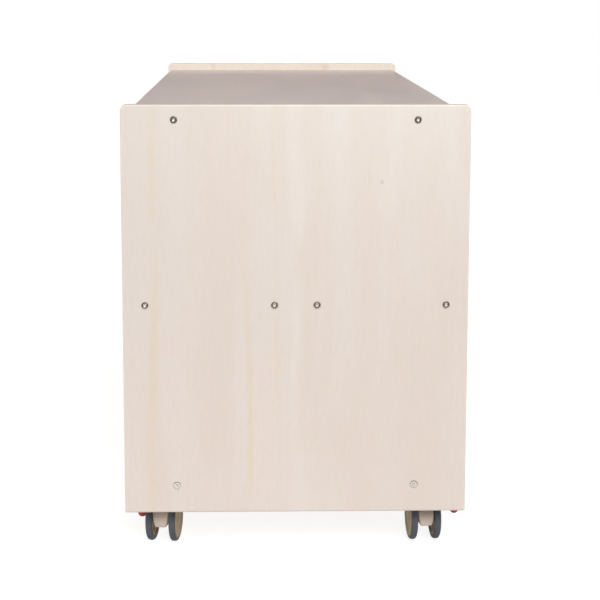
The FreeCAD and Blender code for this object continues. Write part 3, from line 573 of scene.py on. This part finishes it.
def veneer(tree, spot, board, tones, figure, fibre):
    """Face of a board: pinkish figure, golden waves and streaks, dark fibres and flecks, and a faint knot.

    A streak sways with the figure, and comes and goes along the grain.
    """
    pairs = zip(board.tone, tones.veneer_pink, tones.veneer)
    pinker = tuple(part * pink / plain for part, pink, plain in pairs)
    gold, brown = rgba(tones.veneer_gold), rgba(tones.veneer_fleck)
    wave = stretched(tree, spot, board, 7, 20, Detail=2.0, Distortion=1.6)
    fade = stretched(tree, spot, board, 90, 150, Detail=1.0)
    fleck = stretched(tree, spot, board, 2.2, 9, Detail=1.0)
    face = laid(tree, rgba(board.tone), rgba(pinker), figure, 0.36, 0.66)
    face = laid(tree, face, gold, wave, 0.42, 0.8, at_high=0.20)
    across = (AXES.keys() - {board.thickness, board.grain}).pop()
    parts = add(tree, "ShaderNodeSeparateXYZ", {0: spot}).outputs
    sway = 7 * MM
    bounds = {0: figure, 1: 0.2, 2: 0.8, 3: -sway, 4: sway}
    swayed = add(tree, "ShaderNodeMapRange", bounds, interpolation_type="SMOOTHSTEP")
    swayed = add(tree, "ShaderNodeMath", {0: parts[AXES[across]], 1: swayed}, operation="ADD")
    for place, half, strength, tone in board.streaks:
        off = add(tree, "ShaderNodeMath", {0: swayed, 1: place * MM}, operation="SUBTRACT")
        off = add(tree, "ShaderNodeMath", {0: off}, operation="ABSOLUTE")
        bounds = {0: fade, 1: 0.3, 2: 0.6, 3: 0.0, 4: strength}
        most = add(tree, "ShaderNodeMapRange", bounds, interpolation_type="SMOOTHSTEP")
        inner, outer = 0.2 * half * MM, 1.3 * half * MM
        face = laid(tree, face, rgba(tone), off, inner, outer, at_low=most, at_high=0.0)
    face = laid(tree, face, brown, fibre, 0.40, 0.85, at_high=0.10)
    face = laid(tree, face, brown, fleck, 0.70, 0.82, at_high=board.flecks)
    if board.knot is not None:
        place = [part * MM for part in board.knot]
        off = add(tree, "ShaderNodeVectorMath", {0: spot, 1: place}, operation="DISTANCE")
        inner, outer = 1.0 * MM, 4.0 * MM
        face = laid(tree, face, rgba(tones.knot), off, inner, outer, at_low=0.24, at_high=0.0)
    return face


def plies(tree, spot, board, tones, figure):
    """Edge of a board: eleven plies in 15 mm, each second one dark, a little wavy and specked."""
    two_plies, waviness, speck_width = 2 * 15 / 11 * MM, 0.15 * MM, 1.6 * MM
    light, dark = rgba(tones.ply_light), rgba(tones.ply_dark)
    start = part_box(board.name)[0][AXES[board.thickness]]
    depth = add(tree, "ShaderNodeSeparateXYZ", {0: spot}).outputs[AXES[board.thickness]]
    depth = add(tree, "ShaderNodeMath", {0: depth, 1: start}, operation="SUBTRACT")
    depth = add(tree, "ShaderNodeMath", {0: figure, 1: waviness, 2: depth}, operation="MULTIPLY_ADD")
    turn = add(tree, "ShaderNodeMath", {0: depth, 1: two_plies}, operation="DIVIDE")
    turn = add(tree, "ShaderNodeMath", {0: turn}, operation="FRACT")
    second = add(tree, "ShaderNodeMath", {0: turn, 1: 0.5}, operation="GREATER_THAN")
    edge = add(tree, "ShaderNodeMix", {0: second, 6: light, 7: dark}, data_type="RGBA")
    speck = add(tree, "ShaderNodeTexNoise", {"Vector": spot, "Scale": 1 / speck_width, "Detail": 2.0})
    return laid(tree, edge, dark, speck, 0.45, 0.8, at_high=0.35)


def plywood(board, tones):
    """Birch plywood, rotary-cut face veneer under satin lacquer, with bare sanded edges.

    The eye sees a pale cream face with soft pinkish figure, a few golden streaks and fine fibres along the
    grain, and on the edges thin plies that are light and dark in turn.
    """
    finish, tree, shader = blank("Birch plywood " + board.name.replace("_", " "))
    spot = add(tree, "ShaderNodeTexCoord").outputs["Object"]
    figure = stretched(tree, spot, board, 62, 380, Detail=2.0, Distortion=0.7)
    # Fibres of 0.5 mm are too fine for the picture, so they are drawn 2.4 mm wide
    fibre = stretched(tree, spot, board, 2.4, 22, Detail=3.0, Roughness=0.6)
    face = veneer(tree, spot, board, tones, figure, fibre)
    edge = plies(tree, spot, board, tones, figure)
    normal = add(tree, "ShaderNodeNewGeometry").outputs["Normal"]
    facing = add(tree, "ShaderNodeSeparateXYZ", {0: normal}).outputs[AXES[board.thickness]]
    facing = add(tree, "ShaderNodeMath", {0: facing}, operation="ABSOLUTE")
    tone = laid(tree, edge, face, facing, 0.2, 0.5)
    bounds = {0: figure, 1: 0.3, 2: 0.7, 3: 0.28, 4: 0.33}
    gloss = add(tree, "ShaderNodeMapRange", bounds, interpolation_type="SMOOTHSTEP")
    bump = add(tree, "ShaderNodeBump", {"Strength": 0.02, "Distance": 0.05 * MM, "Height": fibre})
    plug(tree, shader, {"Base Color": tone, "Roughness": gloss, "Normal": bump, "IOR": 1.48})
    return finish


def beech(tones):
    """Beech, turned and fluted dowels: warm brown with short darker rays."""
    finish, tree, shader = blank("Beech dowel")
    ray_width, ray_length = 1.11 * MM, 8.33 * MM
    scale = (1 / ray_width, 1 / ray_length, 1 / ray_width)
    spot = add(tree, "ShaderNodeTexCoord").outputs["Object"]
    place = add(tree, "ShaderNodeMapping", {"Vector": spot, "Scale": scale})
    rays = add(tree, "ShaderNodeTexNoise", {"Vector": place, "Scale": 1.0, "Detail": 3.0})
    pair = {0: rays, 6: rgba(tones.beech), 7: rgba(tones.beech, 0.62)}
    tone = add(tree, "ShaderNodeMix", pair, data_type="RGBA")
    plug(tree, shader, {"Base Color": tone, "Roughness": 0.6})
    return finish


def plated(name, tone, smooth, rough, cell):
    """Plated steel: bright metal, clouded by a fine uneven deposit and small scuffs.

    Smooth and rough are the least and the most roughness, and a cell is a cloud's width in millimetres.
    """
    finish, tree, shader = blank(name)
    spot = add(tree, "ShaderNodeTexCoord").outputs["Object"]
    cloud = add(tree, "ShaderNodeTexNoise", {"Vector": spot, "Scale": 1 / (cell * MM), "Detail": 4.0})
    pair = {0: cloud, 6: rgba(tone), 7: rgba(tone, 0.78)}
    mixed = add(tree, "ShaderNodeMix", pair, data_type="RGBA")
    gloss = add(tree, "ShaderNodeMapRange", {0: cloud, 1: 0.3, 2: 0.7, 3: smooth, 4: rough})
    bump = add(tree, "ShaderNodeBump", {"Strength": 0.1, "Distance": 0.02 * MM, "Height": cloud})
    plug(tree, shader, {"Base Color": mixed, "Roughness": gloss, "Normal": bump, "Metallic": 1.0})
    return finish


def moulded(name, tone, rough, grit, depth, mottle, shine):
    """Moulded plastic or rubber: even colour with faint flow marks over a fine eroded grit.

    Grit and depth are the grit's width and height in millimetres, and mottle is how much the flow marks
    darken. The shine is how much the skin mirrors: little on rubber, more on smooth nylon.
    """
    finish, tree, shader = blank(name)
    spot = add(tree, "ShaderNodeTexCoord").outputs["Object"]
    # Real grit, under 0.1 mm, is too fine for the picture, so it is drawn about 0.5 mm wide
    grain = add(tree, "ShaderNodeTexNoise", {"Vector": spot, "Scale": 1 / (grit * MM), "Detail": 2.0})
    flow = add(tree, "ShaderNodeTexNoise", {"Vector": spot, "Scale": 1 / (14 * MM), "Detail": 3.0})
    pair = {0: flow, 6: rgba(tone), 7: rgba(tone, 1 - mottle)}
    mixed = add(tree, "ShaderNodeMix", pair, data_type="RGBA")
    least, most = rough - 0.05, rough + 0.08
    gloss = add(tree, "ShaderNodeMapRange", {0: grain, 1: 0.3, 2: 0.7, 3: least, 4: most})
    bump = add(tree, "ShaderNodeBump", {"Strength": 0.3, "Distance": depth * MM, "Height": grain})
    plug(tree, shader, {"Base Color": mixed, "Roughness": gloss, "Normal": bump, "IOR": 1.52,
                        "Specular IOR Level": shine})
    return finish


def dress(finish, names):
    """Give CAD nodes their finish."""
    for name in names:
        mesh = NODES[name].data
        mesh.materials.clear()
        mesh.materials.append(finish)


# Operators

class UNIT_OT_boards(bpy.types.Operator):
    """Give panels, boards and shelves their plywood, and the dowels their beech"""
    bl_idname = "unit.boards"
    bl_label = "Dress Boards"

    def execute(self, context):
        tones = context.scene.unit_finish
        gold, pale, plain = tones.veneer_gold, tones.veneer_pale, tones.veneer
        boards = (
            Board("end_panel_front", "y", "z", plain,
                  ((-191, 7, 0.45, gold), (-65, 5, 0.5, gold), (-27, 4, 0.3, gold), (2, 12, 0.28, pale)),
                  knot=(112.6, -609.5, 506.4)),
            # The back panel's lighter veneer is painted light
            Board("end_panel_back", "y", "z", tones.veneer_far_painted_light, ((-142, 7, 0.45, gold), (88, 5, 0.5, gold))),
            # The top board's darker veneer is painted shade
            Board("top_board", "z", "y", tones.veneer_top_painted_shade, ((-96, 6, 0.3, gold), (120, 8, 0.3, gold)),
                  flecks=0.0),
            Board("bottom_board", "z", "y", plain, ((40, 6, 0.45, gold), (-150, 5, 0.45, gold))),
            Board("middle_shelf_left", "z", "y", plain, ((-70, 5, 0.45, gold), (-180, 6, 0.4, gold))),
            Board("middle_shelf_right", "z", "y", plain, ((60, 5, 0.45, gold), (150, 7, 0.4, gold))),
            Board("centre_panel", "x", "y", plain, ((180, 6, 0.4, gold), (430, 8, 0.4, gold))),
        )
        for board in boards:
            dress(plywood(board, tones), [board.name])
        dress(beech(tones), ["board_dowels", "shelf_dowels"])
        return {"FINISHED"}


class UNIT_OT_steel(bpy.types.Operator):
    """Give the castors' plates, pins, balls, axles and screws their zinc"""
    bl_idname = "unit.steel"
    bl_label = "Dress Steel"

    def execute(self, context):
        kinds = ("plate", "kingpin", "balls", "axle", "lever_pin")
        names = ["castor_%s_%s" % (corner, kind) for corner in CORNERS for kind in kinds]
        tone = context.scene.unit_finish.zinc
        finish = plated("Zinc-plated steel", tone, smooth=0.3, rough=0.48, cell=3.5)
        dress(finish, names + ["castor_screws"])
        return {"FINISHED"}


class UNIT_OT_screws(bpy.types.Operator):
    """Make the sixteen panel screws"""
    bl_idname = "unit.screws"
    bl_label = "Make Panel Screws"

    def execute(self, context):
        pattern = screw_points(context.scene.unit_screw)
        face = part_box("panel_screws")[1].y
        shells = []
        for end in (-1, 1):
            for across, height in SCREW_PLACES:
                for side in (-1, 1):
                    place = np.array([side * across * MM, end * face, height * MM])
                    shells.append(shell(pattern * np.array([1, -end, 1]) + place))
        tone = context.scene.unit_finish.nickel
        finish = plated("Nickel-plated steel", tone, smooth=0.08, rough=0.16, cell=1.2)
        make_piece("panel_screws_turned", shells, finish, "cabinet", ["panel_screws"])
        return {"FINISHED"}


class UNIT_OT_tyres(bpy.types.Operator):
    """Make the eight tyres"""
    bl_idname = "unit.tyres"
    bl_label = "Make Tyres"

    def execute(self, context):
        sizes = context.scene.unit_castor
        finish = moulded("Grey thermoplastic rubber", context.scene.unit_finish.tyre, rough=0.58, grit=0.5,
                         depth=0.05, mottle=0.16, shine=0.12)
        section = turned(tyre_profile(sizes), steps=160)
        for base, castor, side in wheels():
            points = wheel_points(section, castor, side, sizes)
            make_piece(base + "_tread", [shell(points, ring=True)], finish, base + "_wheel",
                       [base + "_tyre"])
        return {"FINISHED"}


class UNIT_OT_hubs(bpy.types.Operator):
    """Make the eight wheel hubs"""
    bl_idname = "unit.hubs"
    bl_label = "Make Hubs"

    def execute(self, context):
        sizes = context.scene.unit_castor
        # The hubs' darker brown tone is painted shade
        finish = moulded("Beige nylon hub", context.scene.unit_finish.hub, rough=0.52, grit=0.6, depth=0.04,
                         mottle=0.07, shine=0.4)
        pattern = hub_points(sizes)
        for base, castor, side in wheels():
            points = wheel_points(pattern, castor, side, sizes)
            make_piece(base + "_disc", [shell(points)], finish, base + "_wheel",
                       [base + "_hub"])
        return {"FINISHED"}


class UNIT_OT_hoods(bpy.types.Operator):
    """Make the four moulded hoods"""
    bl_idname = "unit.hoods"
    bl_label = "Make Hoods"

    def execute(self, context):
        finish = moulded("Beige nylon hood", context.scene.unit_finish.nylon, rough=0.46, grit=0.6,
                         depth=0.05, mottle=0.07, shine=0.25)
        for castor in castors():
            shells = hood_shells(castor, context.scene.unit_castor)
            make_piece(castor.name + "_shroud", shells, finish, castor.name,
                       [castor.name + "_hood"])
        return {"FINISHED"}


class UNIT_OT_levers(bpy.types.Operator):
    """Make the four brake levers"""
    bl_idname = "unit.levers"
    bl_label = "Make Brake Levers"

    def execute(self, context):
        finish = moulded("Red nylon", context.scene.unit_finish.lever, rough=0.42, grit=0.6, depth=0.05,
                         mottle=0.12, shine=0.5)
        for castor in castors():
            shells = lever_shells(castor, context.scene.unit_castor)
            make_piece(castor.name + "_toe_lever", shells, finish, castor.name + "_lever",
                       [castor.name + "_brake_lever"])
        return {"FINISHED"}


class UNIT_OT_stage(bpy.types.Operator):
    """Set the floor, the soft light and the camera"""
    bl_idname = "unit.stage"
    bl_label = "Set Stage"

    def execute(self, context):
        look = context.scene.unit_stage
        self.set_floor()
        self.set_dark_room()
        self.set_world(context.scene, look)
        self.set_lights(context.scene, look)
        self.set_camera(context.scene, look)
        context.scene.view_settings.view_transform = "Standard"
        return {"FINISHED"}

    def set_floor(self):
        """Pale floor that is white to the eye and keeps a faint shadow."""
        half, below = 9.0, 0.2 * MM
        bounce, shadow, lift = 0.7, 0.36, 0.83
        mesh = bpy.data.meshes.new("studio_floor")
        corners = [(-half, -half, 0.0), (half, -half, 0.0), (half, half, 0.0), (-half, half, 0.0)]
        mesh.from_pydata(corners, [], [(0, 1, 2, 3)])
        floor = bpy.data.objects.new("studio_floor", mesh)
        floor.location.z = -below
        bpy.context.scene.collection.objects.link(floor)
        paper = bpy.data.materials.new("White studio paper")
        paper.use_nodes = True
        tree = paper.node_tree
        tree.nodes.clear()
        seen = self.seen_rays(tree)
        plain = add(tree, "ShaderNodeBsdfDiffuse", {"Color": rgba([bounce] * 3)})
        faint = add(tree, "ShaderNodeBsdfDiffuse", {"Color": rgba([shadow] * 3)})
        glow = add(tree, "ShaderNodeEmission", {"Strength": lift})
        white = add(tree, "ShaderNodeAddShader", {0: faint, 1: glow})
        surface = add(tree, "ShaderNodeMixShader", {0: seen, 1: plain, 2: white})
        add(tree, "ShaderNodeOutputMaterial", {0: surface})
        mesh.materials.append(paper)

    def seen_rays(self, tree):
        """One for rays from the camera, from mirrors and through glass."""
        rays = add(tree, "ShaderNodeLightPath").outputs
        pair = {0: rays["Is Camera Ray"], 1: rays["Is Glossy Ray"]}
        either = add(tree, "ShaderNodeMath", pair, operation="MAXIMUM")
        pair = {0: either, 1: rays["Is Transmission Ray"]}
        return add(tree, "ShaderNodeMath", pair, operation="MAXIMUM")

    def set_world(self, scene, look):
        """White to the eye, and an even soft light for everything else."""
        world = bpy.data.worlds.new("Studio")
        scene.world = world
        world.use_nodes = True
        tree = world.node_tree
        tree.nodes.clear()
        seen = self.seen_rays(tree)
        plain = (1.0, 1.0, 1.0, 1.0)
        soft = add(tree, "ShaderNodeBackground", {"Color": plain, "Strength": look.ambient})
        white = add(tree, "ShaderNodeBackground", {"Color": plain, "Strength": 1.0})
        surface = add(tree, "ShaderNodeMixShader", {0: seen, 1: soft, 2: white})
        add(tree, "ShaderNodeOutputWorld", {0: surface})

    def set_lights(self, scene, look):
        """Soft light from all four sides, and a small cool light on the top of the front panel.

        A light's height and turn are in degrees. The front one is high enough for the panel to shade the
        tops of the castors, and the others stay low, so that upright faces are lit more than level ones.
        Metal mirrors only the small light.
        """
        spread = math.radians(22)
        lights = (("front_light", look.front, 32, 8), ("back_light", look.back, 7, -172),
                  ("right_light", look.side, 6, 96), ("left_light", look.side, 6, -84))
        for name, strength, height, turn in lights:
            lamp = bpy.data.lights.new(name, "SUN")
            lamp.energy = strength
            lamp.angle = spread
            light = bpy.data.objects.new(name, lamp)
            light.rotation_euler = (math.radians(90 - height), 0.0, math.radians(turn))
            light.visible_glossy = False
            scene.collection.objects.link(light)
        cool, width, place = (0.72, 0.91, 1.0), 0.5, (0.12, -1.05, 0.92)
        tilt, turn = math.radians(52), math.radians(12)
        lamp = bpy.data.lights.new("panel_light", "AREA")
        lamp.size = width
        lamp.color = cool
        lamp.energy = look.glow_power
        light = bpy.data.objects.new("panel_light", lamp)
        light.location = place
        light.rotation_euler = (tilt, 0.0, turn)
        light.visible_camera = False
        scene.collection.objects.link(light)

    def set_dark_room(self):
        """Dark studio past both ends of the pale floor, seen only in what bright surfaces mirror."""
        cloth, tree, shader = blank("Dark studio cloth")
        plug(tree, shader, {"Base Color": rgba(linear("5E4A3D")), "Roughness": 1.0})
        wide, near, far, high = 4.0, 1.85, 6.0, 2.2
        for name, end in (("dark_room_front", -1), ("dark_room_back", 1)):
            corners = [(-wide, end * near, MM), (wide, end * near, MM), (wide, end * far, MM),
                       (-wide, end * far, MM), (wide, end * far, high), (-wide, end * far, high)]
            mesh = bpy.data.meshes.new(name)
            mesh.from_pydata(corners, [], [(0, 1, 2, 3), (3, 2, 4, 5)])
            mesh.materials.append(cloth)
            room = bpy.data.objects.new(name, mesh)
            bpy.context.scene.collection.objects.link(room)
            for ray in ("camera", "diffuse", "transmission", "volume_scatter", "shadow"):
                setattr(room, "visible_" + ray, False)

    def set_camera(self, scene, look):
        """Camera as fitted to the photograph."""
        eye = bpy.data.cameras.new("photo_camera")
        eye.sensor_width = 36.0
        eye.lens = look.lens
        eye.shift_y = look.shift
        eye.clip_end = 60.0
        camera = bpy.data.objects.new("photo_camera", eye)
        camera.location = look.place
        camera.rotation_euler = look.turn
        scene.collection.objects.link(camera)
        scene.camera = camera


class UNIT_PT_looks(bpy.types.Panel):
    """The unit's settings and the steps that dress it"""
    bl_label = "Storage Unit"
    bl_space_type = "VIEW_3D"
    bl_region_type = "UI"
    bl_category = "Storage Unit"

    def draw(self, context):
        layout = self.layout
        for settings in (context.scene.unit_finish, context.scene.unit_castor, context.scene.unit_screw,
                         context.scene.unit_stage):
            box = layout.box()
            for name in settings.__annotations__:
                box.prop(settings, name)
        for step in STEPS:
            layout.operator(step.bl_idname)


SETTINGS = (("unit_finish", FinishSettings), ("unit_castor", CastorSettings), ("unit_screw", ScrewSettings),
            ("unit_stage", StageSettings))
STEPS = (UNIT_OT_boards, UNIT_OT_steel, UNIT_OT_screws, UNIT_OT_tyres, UNIT_OT_hubs, UNIT_OT_hoods,
         UNIT_OT_levers, UNIT_OT_stage)


def register():
    for name, group in SETTINGS:
        bpy.utils.register_class(group)
        setattr(bpy.types.Scene, name, PointerProperty(type=group))
    for step in STEPS:
        bpy.utils.register_class(step)
    bpy.utils.register_class(UNIT_PT_looks)


def unregister():
    bpy.utils.unregister_class(UNIT_PT_looks)
    for step in reversed(STEPS):
        bpy.utils.unregister_class(step)
    for name, group in reversed(SETTINGS):
        delattr(bpy.types.Scene, name)
        bpy.utils.unregister_class(group)


def main():
    register()
    for step in STEPS:
        group, name = step.bl_idname.split(".")
        getattr(getattr(bpy.ops, group), name)()


if __name__ == "__main__":
    main()
